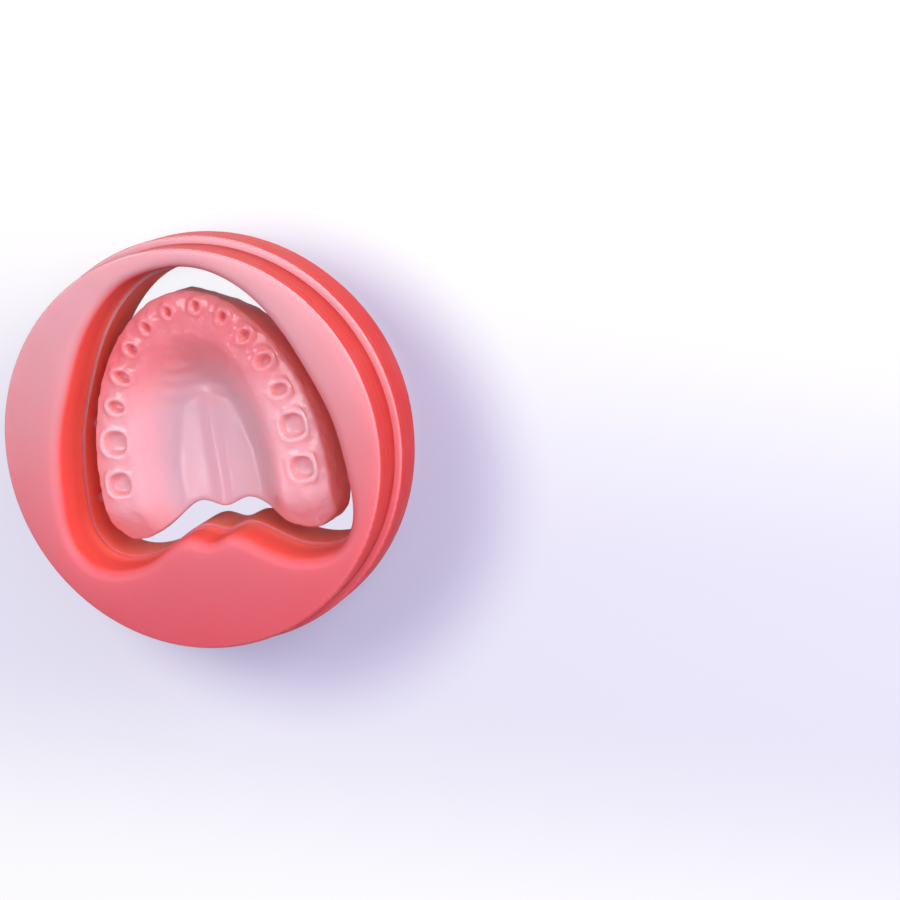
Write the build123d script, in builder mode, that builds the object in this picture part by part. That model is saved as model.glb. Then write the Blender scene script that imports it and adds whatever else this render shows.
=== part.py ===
"""Dental milling disc with an upper denture base milled inside it.

The blank is a stepped acrylic disc: a thick round plate with a wider flange that the
machine's holder grips. A pocket has been milled into it from both faces, which leaves a
full upper denture base in the middle, still carried by short connector pins. Blank,
denture base and pins are one piece.

The part lies on its rear face. Its origin is the middle of that face, +Z points out of
the front face, and +Y points to the front teeth of the denture base. Sizes are in
millimetres.
"""

import os
from math import atan2, cos, degrees, exp, hypot, radians, sin, sqrt

from build123d import *

# Blank
flange_diameter = 98.5
flange_height = 10.0
step_depth = 1.75
front_step = 10.0
rear_step = 5.0
rim_edge_radius = 0.6
disc_height = rear_step + flange_height + front_step

# Place of the denture base in the blank: its midline, and the widest line of its arch
denture_x = 1.6
arch_y = -6.6

# Heights of the denture base
ridge_drop = 5.0
palate_drop = 12.6
base_thickness = 2.4
side_border_z = 4.6
lip_border_z = 7.8
end_border_z = 7.6
lobe_drop = 5.4
ridge_z = disc_height - ridge_drop
palate_z = disc_height - palate_drop

# Dental arch, a half ellipse through the middles of the sockets
arch_half_width = 23.5
arch_length = 39.4

# Denture base from the arch outwards, at its top edge and at its border
top_outside = 5.6
border_outside = 7.3
lip_outside = 3.3
border_swells = (0.2, -1.9, -1.0, -0.2, 0.0, 0.0, 0.0)
top_swells = (0.9, 1.2, 0.4, -0.05, -0.2, -0.1, 0.0)
no_swells = (0.0,) * 7
station_turn = 15

# Ridge and palate from the arch inwards
ridge_inside = 4.6
side_slope = 8.4
front_slope = 15.0
outer_fall = 0.16
outer_fall_power = 1.5
lobe_start = 5.5
lobe_end = 1.5

# Inner side of the flange
flange_wall = 2.7
wall_run = 2.6
trough_drop = 4.9
trough_follow = 0.75
trough_outside = 0.9
trough_front = -1.4
trough_inside = 4.2
trough_lap = 0.5
trough_run = 1.5

# Rear edge: two rounded lobes, two shallow peaks and a notch on the midline
lobe_x = 24.0
lobe_y = -22.6
lobe_round = 1.5
lobe_share = 0.55
lobe_flank = (5.6, 0.9)
corner_insets = (0.1, 0.8)
peak_x = 5.5
peak_y = -14.3
peak_flank = (7.2, 3.6)
notch_y = -16.0

# Palate folds
raphe_height = 0.25
raphe_width = 1.3
ruga_height = 0.45
ruga_width = 0.95
ruga_front_y = 18.6
ruga_pitch = 2.7
ruga_count = 3
ruga_reach = 9.5
ruga_spread = 1.2
ruga_start = 0.6
ruga_fade_in = 2.0
ruga_fade_out = 3.0
ruga_curve = 0.035
ruga_crest_x = 3.0
ruga_turn = 0.12

# Sockets, from the middle incisor to the last molar
tooth_widths = (7.5, 6.3, 7.1, 7.6, 7.4, 10.4, 9.6)
collar_sizes = ((4.4, 4.9), (4.4, 5.2), (4.8, 5.6), (5.0, 6.8), (5.2, 7.0), (8.2, 8.4), (7.8, 8.2))
collar_height = 0.5
collar_wall = 1.15
collar_sink = 0.6
collar_edge = 0.45
collar_flare = 0.35
socket_depth = 2.2
socket_draft = 0.45
molar_width = 6.5
corner_share = 0.4
left_shift = (0.6, 0.2)
right_shift = (0.6, 0.8)

# Pocket
front_clearances = (6.8, 6.7, 5.7, 4.5, 3.9, 4.7, 5.4, 5.8, 5.7, 5.7, 4.8, 4.5, 5.0, 6.5, 6.1)
ledge_width = 0.8
ledge_z = disc_height / 2
mouth_radius = 2.8
rear_edge_radius = 0.5

# Connector pins
pin_diameter = 2.6
pin_sink = 1.4
pin_z = 7.2
pin_ys = (6.0, -12.5)

# Surfaces
section_step = 1.2
arch_steps = 900
surface_margin = 3.0
loft_margin = 1.0


def ellipse_point(half_width: float, length: float, turn: float) -> tuple[float, float]:
    """Point of a half ellipse about the arch's centre, at this turn in degrees."""
    return half_width * sin(radians(turn)), arch_y + length * cos(radians(turn))


def flange_reach(y: float) -> float:
    """Half width of the denture border at this distance along the arch."""
    share = max(y - arch_y, 0.0) / (arch_length + lip_outside)
    return (arch_half_width + border_outside) * sqrt(1 - share * share)


def outline_half(side: float, front: float, swells: tuple[float, ...]) -> list[tuple[float, float]]:
    """Points of the denture outline on the +X side, from the front middle to the notch."""
    half_width = arch_half_width + side
    points = []
    for i, swell in enumerate(swells):
        points.append(ellipse_point(half_width + swell, arch_length + front + swell, station_turn * i))
    shrink = border_outside - side
    corner_y = (arch_y + lobe_y) / 2
    points += [
        (half_width - corner_insets[0], corner_y),
        (half_width - corner_insets[1], (corner_y + lobe_y) / 2),
        (lobe_x + (half_width - lobe_x) * lobe_share, lobe_y + lobe_round + shrink / 2),
        (lobe_x, lobe_y + shrink / 2),
        (lobe_x - lobe_flank[0], lobe_y + lobe_flank[1] + shrink / 2),
        (peak_x + peak_flank[0], peak_y - peak_flank[1]),
        (peak_x, peak_y),
        (0.0, notch_y),
    ]
    return points


def grown(points: list[tuple[float, float]], clearances: list[float]) -> list[tuple[float, float]]:
    """The outline half with each point moved outwards by its own clearance."""
    moved = []
    for i, (x, y) in enumerate(points):
        before = points[i - 1] if i else (-points[1][0], points[1][1])
        after = points[i + 1] if i + 1 < len(points) else (-points[-2][0], points[-2][1])
        run_x, run_y = after[0] - before[0], after[1] - before[1]
        run = hypot(run_x, run_y)
        moved.append((x - run_y / run * clearances[i], y + run_x / run * clearances[i]))
    return moved


def shoulder(edge: Edge) -> bool:
    """Whether a circular edge is an inner corner, where the flange meets a step."""
    on_step = edge.radius < flange_diameter / 2 - step_depth / 2
    return on_step and 0 < edge.center().Z < disc_height


def closed_outline(half: list[tuple[float, float]]) -> list[tuple[float, float]]:
    """All the points of an outline, from one side's points and their mirror image."""
    mirrored = [(-x, y) for x, y in reversed(half[1:-1])]
    return [(denture_x + x, y) for x, y in half + mirrored]


def smooth(value: float, low: float, high: float) -> float:
    """Smooth step from 0 at low to 1 at high."""
    share = min(max((value - low) / (high - low), 0.0), 1.0)
    return share * share * (3 - 2 * share)


def from_arch(x: float, y: float) -> float:
    """Distance of a point from the arch, outwards positive, measured from its centre."""
    across = abs(x - denture_x)
    if y < arch_y:
        return across - arch_half_width
    reach = hypot(across, y - arch_y)
    if reach < 1e-6:
        return -arch_half_width
    share = sqrt((across / arch_half_width) ** 2 + ((y - arch_y) / arch_length) ** 2)
    return reach * (1 - 1 / share)


def frontness(x: float, y: float) -> float:
    """1 on the midline in front of the arch's centre, 0 at its sides and behind it."""
    if y < arch_y:
        return 0.0
    reach = hypot(x - denture_x, y - arch_y)
    return ((y - arch_y) / reach) ** 2 if reach else 0.0


def rugae(x: float, y: float) -> float:
    """Height of the curved folds behind the front teeth."""
    across = abs(x - denture_x)
    total = 0.0
    for fold in range(ruga_count):
        reach = ruga_reach + ruga_spread * fold
        bow = ruga_curve * (across - ruga_crest_x) ** 2 - ruga_turn * across * fold
        middle = ruga_front_y - ruga_pitch * fold + bow
        starting = smooth(across, ruga_start, ruga_start + ruga_fade_in)
        along = starting * (1 - smooth(across, reach - ruga_fade_out, reach))
        total += along * exp(-((y - middle) / ruga_width) ** 2)
    return ruga_height * total


def polished_z(x: float, y: float) -> float:
    """Height of the side of the denture base that faces the teeth and the tongue."""
    away = from_arch(x, y)
    slope = side_slope + (front_slope - side_slope) * frontness(x, y)
    ridge = smooth(away, -ridge_inside - slope, -ridge_inside)
    outer_drop = outer_fall * min(max(away, 0.0), border_outside + surface_margin) ** outer_fall_power
    lobe = smooth(-y, lobe_start - arch_y, lobe_end - lobe_y)
    height = palate_z + (ridge_z - palate_z - lobe_drop * lobe) * ridge
    fold = raphe_height * exp(-((x - denture_x) / raphe_width) ** 2) * (1 - ridge)
    return height + fold + rugae(x, y) - outer_drop * ridge


def border_z(y: float) -> float:
    """Height of the denture border at this distance along the arch."""
    if y >= arch_y:
        return side_border_z + (lip_border_z - side_border_z) * smooth(y, arch_y, arch_y + arch_length)
    return side_border_z + (end_border_z - side_border_z) * smooth(-y, -arch_y, -lobe_y)


def tissue_z(x: float, y: float) -> float:
    """Height of the side of the denture base that lies on the gum."""
    away = from_arch(x, y)
    slope = side_slope + (front_slope - side_slope) * frontness(x, y)
    ridge = smooth(away, -trough_inside - slope - trough_run, trough_lap - trough_inside)
    lobe = smooth(-y, lobe_start - arch_y, lobe_end - lobe_y)
    trough = ridge_z - trough_drop - lobe_drop * lobe * trough_follow
    palate = palate_z - base_thickness
    height = palate + (trough - palate) * ridge
    outside = border_outside + (lip_outside - border_outside) * frontness(x, y)
    wall_start = trough_outside + (trough_front - trough_outside) * frontness(x, y)
    wall = smooth(away, wall_start, max(outside - flange_wall, wall_start + wall_run))
    return height + (border_z(y) - height) * wall


def base_block() -> Part:
    """Block between the two sides of the denture base, lofted from sections across x.

    The sections are even in number, so that none lies on the midline, where the outline starts.
    """
    reach_x = arch_half_width + border_outside + surface_margin
    low_y = lobe_y - surface_margin
    high_y = arch_y + arch_length + lip_outside + surface_margin
    columns = 2 * round(reach_x / section_step) + 1
    rows = round((high_y - low_y) / section_step)
    shares = [row / rows for row in range(rows + 1)]
    ys = [low_y + (high_y - low_y) * share for share in shares]
    with BuildPart() as block:
        for column in range(columns + 1):
            x = denture_x + reach_x * (2 * column / columns - 1)
            with BuildSketch(Plane.YZ.offset(x)):
                with BuildLine():
                    top = Edge.make_spline([(y, polished_z(x, y)) for y in ys], parameters=shares)
                    bottom = Edge.make_spline([(y, tissue_z(x, y)) for y in ys], parameters=shares)
                    add(top)
                    Line(top @ 1, bottom @ 1)
                    add(bottom)
                    Line(bottom @ 0, top @ 0)
                make_face()
        loft()
    return block.part


def arch_stations() -> list[tuple[float, float, float]]:
    """Middle of each tooth on the +X side, with the direction of the arch there."""
    stations = []
    walked = 0.0
    wanted = tooth_widths[0] / 2
    x, y = 0.0, arch_y + arch_length
    for step in range(1, arch_steps + 1):
        turn = 90 * step / arch_steps
        next_x, next_y = ellipse_point(arch_half_width, arch_length, turn)
        stride = hypot(next_x - x, next_y - y)
        while len(stations) < len(tooth_widths) and walked + stride >= wanted:
            stations.append((x, y, degrees(atan2(next_y - y, next_x - x))))
            tooth = len(stations)
            if tooth < len(tooth_widths):
                wanted += (tooth_widths[tooth - 1] + tooth_widths[tooth]) / 2
        x, y, walked = next_x, next_y, walked + stride
    while len(stations) < len(tooth_widths):
        stations.append((x, y - (wanted - walked), -90.0))
        tooth = len(stations)
        if tooth < len(tooth_widths):
            wanted += (tooth_widths[tooth - 1] + tooth_widths[tooth]) / 2
    return stations


def outline_face(half: list[tuple[float, float]], z: float) -> Sketch:
    """Face inside the closed smooth outline with this half, at this height."""
    with BuildSketch(Plane.XY.offset(z)) as sketch:
        with BuildLine():
            Spline(*closed_outline(half), periodic=True)
        make_face()
    return sketch.sketch


def socket_face(plane: Plane, width: float, depth: float, inset: float) -> Sketch:
    """Oval of a socket, or the rounded square of a molar's, this far inside its collar."""
    across, along = width - 2 * inset, depth - 2 * inset
    with BuildSketch(plane) as sketch:
        if width > molar_width:
            RectangleRounded(across, along, min(across, along) * corner_share)
        else:
            Ellipse(across / 2, along / 2)
    return sketch.sketch


border_half = outline_half(border_outside, lip_outside, border_swells)
top_half = outline_half(top_outside, lip_outside, top_swells)
even_half = outline_half(border_outside, lip_outside, no_swells)
front_half = grown(even_half, front_clearances)
rear_half = grown(even_half, [clearance - ledge_width for clearance in front_clearances])

sockets = []
for side, (shift_x, shift_y) in ((-1, left_shift), (1, right_shift)):
    for (x, y, turn), (width, depth) in zip(arch_stations(), collar_sizes):
        along = Vector(side * cos(radians(turn)), sin(radians(turn)), 0)
        middle = Vector(denture_x + side * x + shift_x, y + shift_y, ridge_z + collar_height)
        sockets.append((Plane(origin=middle, x_dir=along, z_dir=(0, 0, -1)), width, depth))

# Denture base, with a raised collar round each socket
with BuildPart() as denture:
    add(outline_face(border_half, side_border_z - loft_margin))
    add(outline_face(top_half, ridge_z + loft_margin))
    loft()
    add(base_block(), mode=Mode.INTERSECT)

with BuildPart() as collars:
    for top, width, depth in sockets:
        add(socket_face(top, width, depth, collar_edge))
        add(socket_face(top.offset(collar_height + collar_sink), width, depth, -collar_flare))
        loft()

with BuildPart() as pits:
    for top, width, depth in sockets:
        add(socket_face(top, width, depth, collar_wall))
        add(socket_face(top.offset(collar_height + socket_depth), width, depth, collar_wall + socket_draft))
        loft()

with BuildPart() as milled_base:
    add(denture.part)
    add(collars.part)
    add(pits.part, mode=Mode.SUBTRACT)

# Blank with its pocket
with BuildPart() as milling_disc:
    with BuildSketch(Plane.XZ):
        with BuildLine():
            step_radius = flange_diameter / 2 - step_depth
            Polyline(
                (0, 0),
                (step_radius, 0),
                (step_radius, rear_step),
                (flange_diameter / 2, rear_step),
                (flange_diameter / 2, rear_step + flange_height),
                (step_radius, rear_step + flange_height),
                (step_radius, disc_height),
                (0, disc_height),
                close=True,
            )
        make_face()
    revolve(axis=Axis.Z)
    outer_edges = milling_disc.edges().filter_by(GeomType.CIRCLE)
    fillet(outer_edges.filter_by(lambda edge: not shoulder(edge)), radius=rim_edge_radius)
    extrude(outline_face(front_half, ledge_z), amount=disc_height - ledge_z, mode=Mode.SUBTRACT)
    extrude(outline_face(rear_half, 0), amount=ledge_z, mode=Mode.SUBTRACT)
    mouth = milling_disc.edges().filter_by_position(Axis.Z, disc_height, disc_height).filter_by(GeomType.BSPLINE)
    fillet(mouth, radius=mouth_radius)
    for side in (-1, 1):
        for pin_y in pin_ys:
            start = flange_reach(pin_y) - pin_sink
            with BuildSketch(Plane.YZ.offset(denture_x + side * start)):
                with Locations((pin_y, pin_z)):
                    Circle(pin_diameter / 2)
            extrude(amount=side * (max(front_clearances) + 2 * pin_sink))
    add(milled_base.part)
    fillet(milling_disc.edges().filter_by_position(Axis.Z, 0, 0).filter_by(GeomType.BSPLINE), radius=rear_edge_radius)

milling_disc.part.label = "milling_disc"
os.makedirs("parts", exist_ok=True)
export_step(milling_disc.part, "parts/milling_disc.step")
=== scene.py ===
"""Looks of a dental milling disc: a pink acrylic blank with an upper denture base milled inside it."""

import logging
import math
from dataclasses import dataclass, field
from enum import Enum
from typing import Any

import bpy
from mathutils import Matrix, Vector


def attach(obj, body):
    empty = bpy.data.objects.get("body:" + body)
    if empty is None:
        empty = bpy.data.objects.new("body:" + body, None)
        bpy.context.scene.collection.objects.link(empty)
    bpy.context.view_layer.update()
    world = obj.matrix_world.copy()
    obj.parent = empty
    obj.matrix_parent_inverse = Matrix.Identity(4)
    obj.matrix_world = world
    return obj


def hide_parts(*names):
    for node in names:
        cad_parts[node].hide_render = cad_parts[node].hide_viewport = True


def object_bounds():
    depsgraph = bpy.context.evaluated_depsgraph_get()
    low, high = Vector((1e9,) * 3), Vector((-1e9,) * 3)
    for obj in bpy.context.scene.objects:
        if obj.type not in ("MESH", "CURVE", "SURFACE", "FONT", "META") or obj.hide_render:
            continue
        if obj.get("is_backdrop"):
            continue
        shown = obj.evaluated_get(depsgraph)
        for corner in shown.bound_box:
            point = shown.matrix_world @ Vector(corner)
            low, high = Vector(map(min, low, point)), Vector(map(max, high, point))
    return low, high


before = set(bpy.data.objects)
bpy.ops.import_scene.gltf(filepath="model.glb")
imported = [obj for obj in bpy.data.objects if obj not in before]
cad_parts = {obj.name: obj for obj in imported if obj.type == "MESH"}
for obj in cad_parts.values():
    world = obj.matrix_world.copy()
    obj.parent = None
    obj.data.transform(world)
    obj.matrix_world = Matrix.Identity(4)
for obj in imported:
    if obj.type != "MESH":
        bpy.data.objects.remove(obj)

Colour = tuple[float, float, float, float]
Span = tuple[float, float]

MM = 0.001
BODY = "root"
DISC_NODE = "milling_disc"
BASE_MASK = "denture_base"
log = logging.getLogger("milling_disc")


def srgb(red: float, green: float, blue: float) -> Colour:
    """Linear colour of an 8-bit sRGB one.

    Args:
        red: Red, 0 to 255.
        green: Green, 0 to 255.
        blue: Blue, 0 to 255.

    Returns:
        The linear red, green, blue and an alpha of 1.
    """
    def linear(value: float) -> float:
        """One channel of it."""
        share = value / 255
        return share / 12.92 if share <= 0.04045 else ((share + 0.055) / 1.055) ** 2.4

    return linear(red), linear(green), linear(blue), 1.0


class Sock:
    """An output socket that adds Math nodes when it is used in an expression."""

    def __init__(self, graph: "Graph", socket: bpy.types.NodeSocket) -> None:
        """Wrap a socket.

        Args:
            graph: The graph that the socket's node is in.
            socket: The output socket.
        """
        self.graph = graph
        self.socket = socket

    def math(self, operation: str, first: Any, second: Any = 0.0) -> "Sock":
        """One Math node on two values or sockets."""
        return self.graph.node("ShaderNodeMath", {"operation": operation}, {0: first, 1: second})

    def __add__(self, other: Any) -> "Sock":
        """Sum."""
        return self.math("ADD", self, other)

    def __radd__(self, other: Any) -> "Sock":
        """Sum with a plain number first."""
        return self.math("ADD", other, self)

    def __sub__(self, other: Any) -> "Sock":
        """Difference."""
        return self.math("SUBTRACT", self, other)

    def __rsub__(self, other: Any) -> "Sock":
        """Difference from a plain number."""
        return self.math("SUBTRACT", other, self)

    def __mul__(self, other: Any) -> "Sock":
        """Product."""
        return self.math("MULTIPLY", self, other)

    def __rmul__(self, other: Any) -> "Sock":
        """Product with a plain number first."""
        return self.math("MULTIPLY", other, self)

    def __truediv__(self, other: Any) -> "Sock":
        """Quotient."""
        return self.math("DIVIDE", self, other)

    def __rtruediv__(self, other: Any) -> "Sock":
        """Quotient of a plain number."""
        return self.math("DIVIDE", other, self)

    def __pow__(self, other: Any) -> "Sock":
        """Power."""
        return self.math("POWER", self, other)

    def __abs__(self) -> "Sock":
        """Size without its sign."""
        return self.math("ABSOLUTE", self)


class Graph:
    """The node tree of one material."""

    def __init__(self, name: str) -> None:
        """Make an empty node material.

        Args:
            name: The material's name.
        """
        self.material = bpy.data.materials.new(name)
        self.material.use_nodes = True
        self.tree = self.material.node_tree
        self.tree.nodes.clear()

    def node(self, kind: str, settings: dict[str, Any], values: dict[Any, Any], out: Any = 0) -> Sock:
        """Add a node, set it up and link it.

        Args:
            kind: The node's type.
            settings: Its settings, set before its sockets.
            values: Value or link of each input, by name or number.
            out: The output to return, by name or number.

        Returns:
            The wrapped output.
        """
        made = self.tree.nodes.new(kind)
        for key, value in settings.items():
            setattr(made, key, value)
        for key, value in values.items():
            if isinstance(value, Sock):
                self.tree.links.new(value.socket, made.inputs[key])
            else:
                made.inputs[key].default_value = value
        return Sock(self, made.outputs[out])

    def mix(self, factor: Any, first: Any, second: Any) -> Sock:
        """Mix two colours.

        Args:
            factor: Share of the second colour, a number or a socket.
            first: First colour.
            second: Second colour.

        Returns:
            The mixed colour.
        """
        return self.node("ShaderNodeMix", {"data_type": "RGBA"}, {0: factor, 6: first, 7: second}, 2)

    def ramp(self, value: Sock, low: float, high: float) -> Sock:
        """Smooth step of a value.

        Args:
            value: The value.
            low: Where the step starts, at 0.
            high: Where the step ends, at 1.

        Returns:
            The step.
        """
        return self.node(
            "ShaderNodeMapRange",
            {"interpolation_type": "SMOOTHSTEP"},
            {"Value": value, "From Min": low, "From Max": high},
        )

    def inside(self, value: Sock, span: Span) -> Sock:
        """Smooth step down, 1 below the span and 0 above it."""
        return 1 - self.ramp(value, *span)

    def parts(self, vector: Sock) -> tuple[Sock, Sock, Sock]:
        """The three numbers of a vector."""
        outputs = self.node("ShaderNodeSeparateXYZ", {}, {0: vector}).socket.node.outputs
        return Sock(self, outputs[0]), Sock(self, outputs[1]), Sock(self, outputs[2])

    def length(self, x: Sock, y: Sock) -> Sock:
        """Length of a flat vector."""
        return (x * x + y * y) ** 0.5

    def noise(self, place: Sock, scale: float, detail: float = 3.0) -> Sock:
        """Soft noise over the piece, with this many cells per metre."""
        return self.node("ShaderNodeTexNoise", {}, {"Vector": place, "Scale": scale, "Detail": detail})

    def coordinates(self, kind: str) -> Sock:
        """A coordinate of the piece, such as its place in metres."""
        return self.node("ShaderNodeTexCoord", {}, {}, kind)

    def finish(self, shader: Sock) -> bpy.types.Material:
        """Link the shader to the output.

        Args:
            shader: The surface shader.

        Returns:
            The material.
        """
        output = self.tree.nodes.new("ShaderNodeOutputMaterial")
        self.tree.links.new(shader.socket, output.inputs["Surface"])
        return self.material


@dataclass(frozen=True)
class PinkAcrylic:
    """Satin, translucent pink acrylic: turned outside, milled inside, thin and glossy in the base.

    Lengths are in metres. A span is where a change starts and where it is complete. The colours paint
    light and shade into the one acrylic: a sheen on the face, lit copies on the pocket walls, a glow
    deep in the pocket, shade on the rim sides, and light in the thin denture base and its palate.
    """

    # Painted light and shade: the face and the walls below are lit and shaded copies of the one
    # acrylic.
    face: Colour = srgb(218, 90, 104)
    # Painted sheen: the paler pink that the face turns to towards its top, standing in for a soft
    # reflection from above.
    face_painted_sheen: Colour = srgb(216, 162, 172)
    # Painted light: the pocket walls get a brighter, more saturated red than the face, for the light
    # that bounces and scatters inside the pocket.
    wall_painted_light: Colour = srgb(230, 84, 76)
    # Painted glow: the walls deep in the pocket turn a brighter red, for light that passes through the
    # translucent acrylic.
    deep_wall_painted_glow: Colour = srgb(255, 122, 104)
    # Painted shade: the outer sides of the rims get a deeper red, so they render darker than the lamps
    # light them.
    rim_side_painted_shade: Colour = srgb(188, 38, 30)
    # Painted light: the denture base is paler than the blank, for light that shows through its thin
    # acrylic and to lift the shade in its molar sockets.
    base: Colour = srgb(248, 172, 184)
    # Painted shade: a redder pink towards the front ridge and the rear lobes, where the base catches
    # more light.
    base_ends_painted_shade: Colour = srgb(228, 124, 136)
    # Painted light: the steep sides of the denture base get a lighter, warmer pink, to lift their
    # shade.
    base_side_painted_light: Colour = srgb(255, 168, 168)
    # Painted light: a paler lavender pink on the palate, for the light that shows through the thin
    # acrylic there.
    palate: Colour = srgb(228, 170, 186)
    blank_roughness: float = 0.45
    base_roughness: float = 0.32
    roughness_drift: float = 0.08
    refraction: float = 1.49
    specular_level: float = 0.3
    base_coat: float = 0.7
    coat_roughness: float = 0.11
    scatter_weight: float = 0.9
    scatter_scale: float = 0.009
    scatter_radii: tuple[float, float, float] = (1.0, 0.32, 0.28)
    # Where the face's painted sheen starts and where it is complete, along y.
    painted_sheen_y: Span = (-0.055, 0.05)
    rim_shade_radius: Span = (0.0405, 0.0435)
    # Heights where the deep walls' painted glow starts and where it is complete.
    painted_glow_z: Span = (0.0175, 0.012)
    upright_facing: Span = (0.1, 0.95)
    base_painted_light_y: float = -0.003
    base_shade_reach: Span = (0.008, 0.028)
    side_light_share: float = 0.8
    palate_middle: tuple[float, float] = (-0.0015, -0.006)
    palate_half_width: float = 0.0165
    palate_length: float = 0.024
    palate_edge: Span = (0.45, 1.15)
    cloud_scale: float = 90.0
    cloud_drift: float = 0.25
    smear_scale: float = 260.0
    mark_height: float = 0.00002
    mark_scale: float = 125.0
    mark_distortion: float = 0.6
    mark_facing: Span = (0.15, 0.5)

    def palate_mask(self, graph: Graph, x: Sock, y: Sock, base_mask: Sock) -> Sock:
        """How far a point lies within the palate.

        Args:
            graph: The node graph.
            x: Place across the disc.
            y: Place along the midline.
            base_mask: 1 on the denture base.

        Returns:
            The mask, 1 in the middle of the palate.
        """
        across = (x - self.palate_middle[0]) / self.palate_half_width
        along = (y - self.palate_middle[1]) / self.palate_length
        return graph.inside(graph.length(across, along), self.palate_edge) * base_mask

    def blank_colour(self, graph: Graph, place: tuple[Sock, Sock, Sock], facing_light_and_tone: Sock) -> Sock:
        """Colour of the blank: its face, the pocket's walls and the sides of its rims, painted with
        light and shade: a paler sheen towards the face's top, lit copies for the walls, a glow deep in
        the pocket and shade on the outer rim sides.

        Args:
            graph: The node graph.
            place: Place in the piece.
            facing_light_and_tone: How steep the surface is, with its drift.

        Returns:
            The colour.
        """
        x, y, z = place
        # Painted sheen: the face turns paler towards its top.
        face = graph.mix(graph.ramp(y, *self.painted_sheen_y), self.face, self.face_painted_sheen)
        # Painted shade on the outer sides of the rims, beyond this radius.
        outside = graph.ramp(graph.length(x, y), *self.rim_shade_radius)
        # Painted glow: below these heights the walls turn a brighter red.
        deep_start, deep_end = self.painted_glow_z
        painted_glow_share = graph.ramp(deep_start - z, 0.0, deep_start - deep_end)
        pocket_wall_painted_light = graph.mix(painted_glow_share, self.wall_painted_light, self.deep_wall_painted_glow)
        # Painted light and shade: steep surfaces take the wall colours and flat ones the face colour,
        # with a random drift of tone.
        return graph.mix(facing_light_and_tone, face, graph.mix(outside, pocket_wall_painted_light, self.rim_side_painted_shade))

    def marks(self, graph: Graph, place: Sock, facing: Sock, base_mask: Sock) -> Sock:
        """Faint lines that the cutter leaves on the upright walls of the blank.

        Args:
            graph: The node graph.
            place: Place in the piece.
            facing: How far the surface faces up or down.
            base_mask: 1 on the denture base, which is polished.

        Returns:
            The bumped normal.
        """
        lines = graph.node("ShaderNodeTexWave", {"bands_direction": "Z"}, {
            "Vector": place,
            "Scale": self.mark_scale,
            "Distortion": self.mark_distortion,
            "Detail": 1.0,
        })
        height = lines * graph.inside(facing, self.mark_facing) * (1 - base_mask)
        return graph.node("ShaderNodeBump", {}, {
            "Height": height, "Distance": self.mark_height, "Strength": 1.0,
        })

    def make(self, name: str) -> bpy.types.Material:
        """Build the node material.

        Args:
            name: The material's name.

        Returns:
            The material.
        """
        graph = Graph(name)
        place = graph.coordinates("Object")
        x, y, z = graph.parts(place)
        facing = abs(graph.parts(graph.coordinates("Normal"))[2])
        base_mask = graph.node("ShaderNodeAttribute", {"attribute_name": BASE_MASK}, {}, "Fac")
        upright = graph.inside(facing, self.upright_facing)
        drift = (graph.noise(place, self.cloud_scale) - 0.5) * self.cloud_drift
        # Painted light and shade by steepness, plus random tone, for the blank.
        blank = self.blank_colour(graph, (x, y, z), upright + drift)
        # Painted light and shade: the base is palest across the molars and redder towards front and
        # back.
        front = graph.ramp(abs(y - self.base_painted_light_y), *self.base_shade_reach)
        ridge = graph.mix(front, self.base, self.base_ends_painted_shade)
        # Painted light on the steep sides of the base, with a random drift of tone.
        base = graph.mix(upright * self.side_light_share + drift, ridge, self.base_side_painted_light)
        skin = graph.mix(base_mask, blank, base)
        rough = self.blank_roughness + base_mask * (self.base_roughness - self.blank_roughness)
        smear = (graph.noise(place, self.smear_scale) - 0.5) * self.roughness_drift
        shader = graph.node("ShaderNodeBsdfPrincipled", {}, {
            # Painted light: the palate's see-through glow, as a paler lavender pink.
            "Base Color": graph.mix(self.palate_mask(graph, x, y, base_mask), skin, self.palate),
            "Roughness": rough + smear,
            "IOR": self.refraction,
            "Specular IOR Level": self.specular_level,
            "Coat Weight": base_mask * self.base_coat,
            "Coat Roughness": self.coat_roughness,
            "Subsurface Weight": self.scatter_weight,
            "Subsurface Radius": self.scatter_radii,
            "Subsurface Scale": self.scatter_scale,
            "Normal": self.marks(graph, place, facing, base_mask),
        })
        return graph.finish(shader)


class Side(Enum):
    """Side of the denture base, seen from the front."""

    LEFT = -1
    RIGHT = 1


@dataclass(frozen=True)
class DentalArch:
    """The curve through the middles of the sockets, half an ellipse, in millimetres."""

    middle_x: float = 1.6
    centre_y: float = -6.6
    half_width: float = 23.5
    length: float = 39.4

    def reach(self, point: Vector) -> float:
        """How far out a point lies, 1 on the arch itself.

        Args:
            point: The point, in metres.

        Returns:
            Its reach. Behind the arch's centre only its distance from the midline counts.
        """
        across = (point.x / MM - self.middle_x) / self.half_width
        along = (point.y / MM - self.centre_y) / self.length
        return math.hypot(across, max(along, 0.0))


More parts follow.
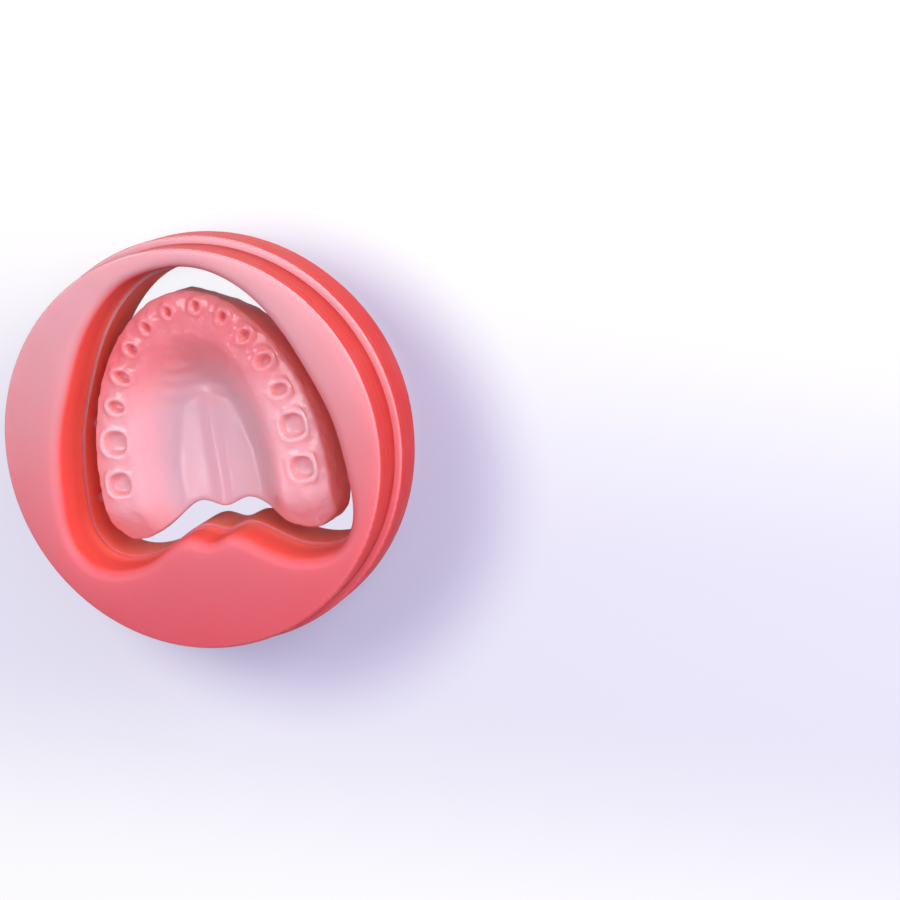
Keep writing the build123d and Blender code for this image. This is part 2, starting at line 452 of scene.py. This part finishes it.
@dataclass(frozen=True)
class MilledDisc:
    """The whole part: the stepped blank with the denture base milled in it, in millimetres."""

    cut_from_midline: float = 32.4
    cut_reach: float = 4.0
    cut_accuracy: float = 0.0001
    pin_radius: float = 1.3
    pin_margin: float = 0.05
    pin_height: float = 7.2
    pin_ys: tuple[float, float] = (6.0, -12.5)
    weld: float = 0.001
    crease_angle: float = 32.0
    voxel: float = 0.26
    keep_share: float = 0.4
    smooth_factor: float = 0.5
    smooth_turns: int = 44
    ripple_width: float = 3.2
    ripple_height: float = 0.55
    ripple_start: float = 0.6
    ripple_blend: float = 0.3
    palate_ripple: float = 0.03
    arch: DentalArch = field(default_factory=DentalArch)

    def only(self, piece: bpy.types.Object) -> None:
        """Select one piece and make it active."""
        bpy.ops.object.select_all(action="DESELECT")
        piece.select_set(True)
        bpy.context.view_layer.objects.active = piece

    def copy_of_node(self, node: bpy.types.Object, name: str) -> bpy.types.Object:
        """Copy the CAD node and merge its loose triangles.

        Args:
            node: The CAD node.
            name: Name of the copy.

        Returns:
            The copy.
        """
        self.only(node)
        bpy.ops.object.duplicate()
        copy = bpy.context.object
        copy.name = name
        copy.data.name = name
        self.only(copy)
        bpy.ops.object.mode_set(mode="EDIT")
        bpy.ops.mesh.select_all(action="SELECT")
        bpy.ops.mesh.remove_doubles(threshold=self.weld * MM)
        bpy.ops.mesh.customdata_custom_splitnormals_clear()
        bpy.ops.object.mode_set(mode="OBJECT")
        return copy

    def on_pin(self, point: Vector, side: Side) -> bool:
        """Whether a point lies on the round of a connector pin.

        Args:
            point: The point, in metres.
            side: The side whose pins count.

        Returns:
            True on such a pin, near the place where it is cut.
        """
        across = (point.x / MM - self.arch.middle_x) * side.value
        if abs(across - self.cut_from_midline) > self.cut_reach:
            return False
        height = point.z / MM - self.pin_height
        reach = self.pin_radius + self.pin_margin
        return any(math.hypot(point.y / MM - pin_y, height) < reach for pin_y in self.pin_ys)

    def cut_pins(self, piece: bpy.types.Object) -> None:
        """Cut the connector pins on one side after the other, half-way over the gap.

        Args:
            piece: The whole part.
        """
        for side in Side:
            self.only(piece)
            bpy.ops.object.mode_set(mode="EDIT")
            bpy.ops.mesh.select_mode(type="FACE")
            bpy.ops.mesh.select_all(action="DESELECT")
            bpy.ops.object.mode_set(mode="OBJECT")
            for face in piece.data.polygons:
                face.select = self.on_pin(face.center, side)
            log.info("%s pins: %d faces", side.name, sum(face.select for face in piece.data.polygons))
            bpy.ops.object.mode_set(mode="EDIT")
            cut_x = (self.arch.middle_x + side.value * self.cut_from_midline) * MM
            bpy.ops.mesh.bisect(
                plane_co=(cut_x, 0, 0), plane_no=(1, 0, 0), threshold=self.cut_accuracy * MM
            )
            bpy.ops.mesh.edge_split(type="EDGE")
            bpy.ops.object.mode_set(mode="OBJECT")

    def split(self, piece: bpy.types.Object) -> tuple[bpy.types.Object, bpy.types.Object]:
        """Separate the denture base from the blank.

        Args:
            piece: The whole part with its pins cut.

        Returns:
            The blank and the denture base.
        """
        self.only(piece)
        bpy.ops.mesh.separate(type="LOOSE")
        loose = sorted(bpy.context.selected_objects, key=lambda part: part.dimensions.x, reverse=True)
        log.info("separated into %d", len(loose))
        for part in loose:
            self.only(part)
            bpy.ops.object.mode_set(mode="EDIT")
            bpy.ops.mesh.select_all(action="SELECT")
            bpy.ops.mesh.fill_holes(sides=0)
            bpy.ops.object.mode_set(mode="OBJECT")
        return loose[0], loose[1]

    def apply(self, piece: bpy.types.Object, kind: str, **settings: Any) -> None:
        """Add a modifier and apply it.

        Args:
            piece: The piece that gets it.
            kind: The modifier's type.
            settings: Its settings.
        """
        self.only(piece)
        modifier = piece.modifiers.new(kind.lower(), kind)
        for key, value in settings.items():
            setattr(modifier, key, value)
        bpy.ops.object.modifier_apply(modifier=modifier.name)

    def ripple(self, base: bpy.types.Object) -> None:
        """Make the ridge and the borders faintly uneven, the palate hardly.

        Args:
            base: The denture base.
        """
        ridge = base.vertex_groups.new(name="ridge")
        for vertex in base.data.vertices:
            share = (self.arch.reach(vertex.co) - self.ripple_start) / self.ripple_blend
            ridge.add([vertex.index], min(max(share, self.palate_ripple), 1.0), "REPLACE")
        gum = bpy.data.textures.new("gum_ripple", "CLOUDS")
        gum.noise_scale = self.ripple_width * MM
        self.apply(
            base, "DISPLACE", texture=gum, texture_coords="LOCAL", mid_level=0.5,
            strength=self.ripple_height * MM, vertex_group=ridge.name,
        )
        base.vertex_groups.clear()

    def soften_base(self, base: bpy.types.Object) -> None:
        """Give the denture base the soft, polished forms of wax-up work.

        Args:
            base: The denture base.
        """
        self.apply(base, "REMESH", mode="VOXEL", voxel_size=self.voxel * MM, use_smooth_shade=True)
        self.apply(base, "SMOOTH", factor=self.smooth_factor, iterations=self.smooth_turns)
        self.ripple(base)
        self.apply(base, "DECIMATE", ratio=self.keep_share)
        log.info("denture base: %d faces", len(base.data.polygons))

    def mark(self, piece: bpy.types.Object, value: float) -> None:
        """Write how much of the piece is denture base, for its material."""
        layer = piece.data.attributes.new(BASE_MASK, "FLOAT", "POINT")
        layer.data.foreach_set("value", [value] * len(piece.data.vertices))

    def build(self, acrylic: bpy.types.Material) -> bpy.types.Object:
        """Model the piece and dress it.

        Args:
            acrylic: Its material.

        Returns:
            The finished piece.
        """
        whole = self.copy_of_node(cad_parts[DISC_NODE], "milled_disc")
        self.cut_pins(whole)
        blank, base = self.split(whole)
        self.only(blank)
        bpy.ops.object.shade_smooth_by_angle(angle=math.radians(self.crease_angle))
        self.soften_base(base)
        self.mark(blank, 0.0)
        self.mark(base, 1.0)
        self.only(blank)
        base.select_set(True)
        bpy.ops.object.join()
        blank.data.materials.clear()
        blank.data.materials.append(acrylic)
        blank.name = "milled_disc"
        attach(blank, BODY)
        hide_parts(DISC_NODE)
        return blank


def stand(place: Vector, back: Vector, up: Vector) -> Matrix:
    """Place of a camera or lamp that looks away from a direction.

    Args:
        place: Where it stands.
        back: The direction behind it.
        up: Roughly its upward direction.

    Returns:
        Its matrix.
    """
    back = back.normalized()
    right = up.cross(back).normalized()
    turn = Matrix((right, back.cross(right), back)).transposed()
    return Matrix.Translation(place) @ turn.to_4x4()


@dataclass(frozen=True)
class PhotoCamera:
    """Camera at the photograph's viewing angle, in the row frame."""

    place: Vector = Vector((212.485, 81.253, 455.834)) * MM
    back: Vector = Vector((0.32027, 0.18454, 0.92918))
    up: Vector = Vector((0.07655, 0.97259, -0.21952))
    focal_px: float = 2084.25
    frame_px: float = 900.0
    sensor_mm: float = 36.0
    clip_start: float = 0.01

    def make(self) -> bpy.types.Object:
        """Add the camera and make it the scene's own.

        Returns:
            The camera object.
        """
        data = bpy.data.cameras.new("photo_camera")
        data.sensor_width = self.sensor_mm
        data.lens = self.sensor_mm * self.focal_px / self.frame_px
        data.clip_start = self.clip_start
        camera = bpy.data.objects.new("photo_camera", data)
        bpy.context.scene.collection.objects.link(camera)
        camera.matrix_world = stand(self.place, self.back, self.up)
        bpy.context.scene.camera = camera
        return camera


@dataclass(frozen=True)
class Lamp:
    """A soft studio lamp that faces the object, with its height along y."""

    name: str
    place: tuple[float, float, float]
    size: tuple[float, float]
    power: float
    colour: tuple[float, float, float] = (1.0, 1.0, 1.0)

    def make(self, target: Vector) -> bpy.types.Object:
        """Add the lamp.

        Args:
            target: The point that it faces.

        Returns:
            The lamp object.
        """
        data = bpy.data.lights.new(self.name, "AREA")
        data.shape = "RECTANGLE"
        data.size, data.size_y = self.size
        data.energy, data.color = self.power, self.colour
        lamp = bpy.data.objects.new(self.name, data)
        bpy.context.scene.collection.objects.link(lamp)
        place = Vector(self.place)
        lamp.matrix_world = stand(place, place - target, Vector((0, 1, 0)))
        return lamp


@dataclass(frozen=True)
class Studio:
    """Pale floor, soft lamps and a plain world."""

    floor_size: float = 6.0
    world_colour: Colour = (0.9, 0.87, 1.0, 1.0)
    world_strength: float = 0.36
    paper: Colour = srgb(253, 253, 255)
    # Painted shade: a pale lavender band over the floor around and below the disc.
    painted_shade_band: Colour = srgb(230, 227, 245)
    shade: Colour = srgb(188, 182, 216)
    paper_roughness: float = 0.9
    inside_light: float = 0.95
    own_light: float = 0.75
    shade_light: float = 0.55
    shade_band_tilt: float = 0.15
    shade_band_near: Span = (-0.03, 0.06)
    shade_band_far: Span = (-0.13, -0.06)
    pocket_edge: Span = (0.038, 0.05)
    shade_middle: tuple[float, float] = (0.013, -0.012)
    shade_edge: Span = (0.044, 0.068)
    shade_share: float = 0.85
    lamps: tuple[Lamp, ...] = (
        Lamp("key", (-0.22, 0.20, 0.50), (0.24, 0.24), 1.1, (1.0, 0.99, 0.97)),
        Lamp("side", (0.46, 0.20, 0.25), (0.3, 0.3), 2.3, (1.0, 0.98, 0.97)),
        Lamp("front", (0.32, 0.15, 0.55), (0.35, 0.35), 1.4),
        Lamp("palate_streak", (-0.243, -0.11, 0.517), (0.008, 0.06), 0.03),
        Lamp("molar_glint", (-0.2, -0.11, 0.53), (0.012, 0.02), 0.012),
    )

    def floor_material(self) -> bpy.types.Material:
        """Paper that is white above and behind, with a pale lavender band of painted shade and a soft
        painted shadow beside the disc.

        Returns:
            The material.
        """
        graph = Graph("floor_paper")
        x, y, _ = graph.parts(graph.coordinates("Object"))
        # Painted shade: a lavender band across the floor, tilted a little.
        height = y + x * self.shade_band_tilt
        in_shade_band = graph.inside(height, self.shade_band_near) * graph.ramp(height, *self.shade_band_far)
        inside = graph.inside(graph.length(x, y), self.pocket_edge)
        off_shade = graph.length(x - self.shade_middle[0], y - self.shade_middle[1])
        shaded = graph.inside(off_shade, self.shade_edge) * (1 - inside) * self.shade_share
        colour = graph.mix(shaded, graph.mix(in_shade_band, self.paper, self.painted_shade_band), self.shade)
        own = self.own_light + inside * (self.inside_light - self.own_light)
        own = own + shaded * (self.shade_light - self.own_light)
        seen = graph.node("ShaderNodeLightPath", {}, {}, "Is Camera Ray")
        paper = graph.node("ShaderNodeBsdfPrincipled", {}, {
            "Base Color": colour, "Roughness": self.paper_roughness,
        })
        glow = graph.node("ShaderNodeEmission", {}, {"Color": colour, "Strength": 1.0})
        return graph.finish(graph.node("ShaderNodeMixShader", {}, {0: seen * own, 1: paper, 2: glow}))

    def make_floor(self) -> None:
        """Lay the floor at the disc's rear face."""
        bpy.ops.mesh.primitive_plane_add(size=self.floor_size, location=(0, 0, 0))
        floor = bpy.context.object
        floor.name = "floor"
        floor.data.materials.append(self.floor_material())
        floor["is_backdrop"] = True

    def make_world(self) -> None:
        """Light the scene evenly from all round."""
        world = bpy.data.worlds.new("studio_world")
        world.use_nodes = True
        background = world.node_tree.nodes["Background"]
        background.inputs["Color"].default_value = self.world_colour
        background.inputs["Strength"].default_value = self.world_strength
        bpy.context.scene.world = world

    def make(self, target: Vector) -> None:
        """Add floor, lamps and world.

        Args:
            target: The point that the lamps face.
        """
        self.make_floor()
        for lamp in self.lamps:
            lamp.make(target)
        self.make_world()
        bpy.context.scene.view_settings.view_transform = "Standard"


def main() -> None:
    """Build the looks and report each piece."""
    logging.basicConfig(level=logging.INFO, format="%(name)s: %(message)s")
    low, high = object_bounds()
    disc = MilledDisc().build(PinkAcrylic().make("pink_acrylic"))
    log.info("%s: %d triangles", disc.name, sum(len(face.vertices) - 2 for face in disc.data.polygons))
    PhotoCamera().make()
    Studio().make((low + high) / 2)


if __name__ == "__main__":
    main()
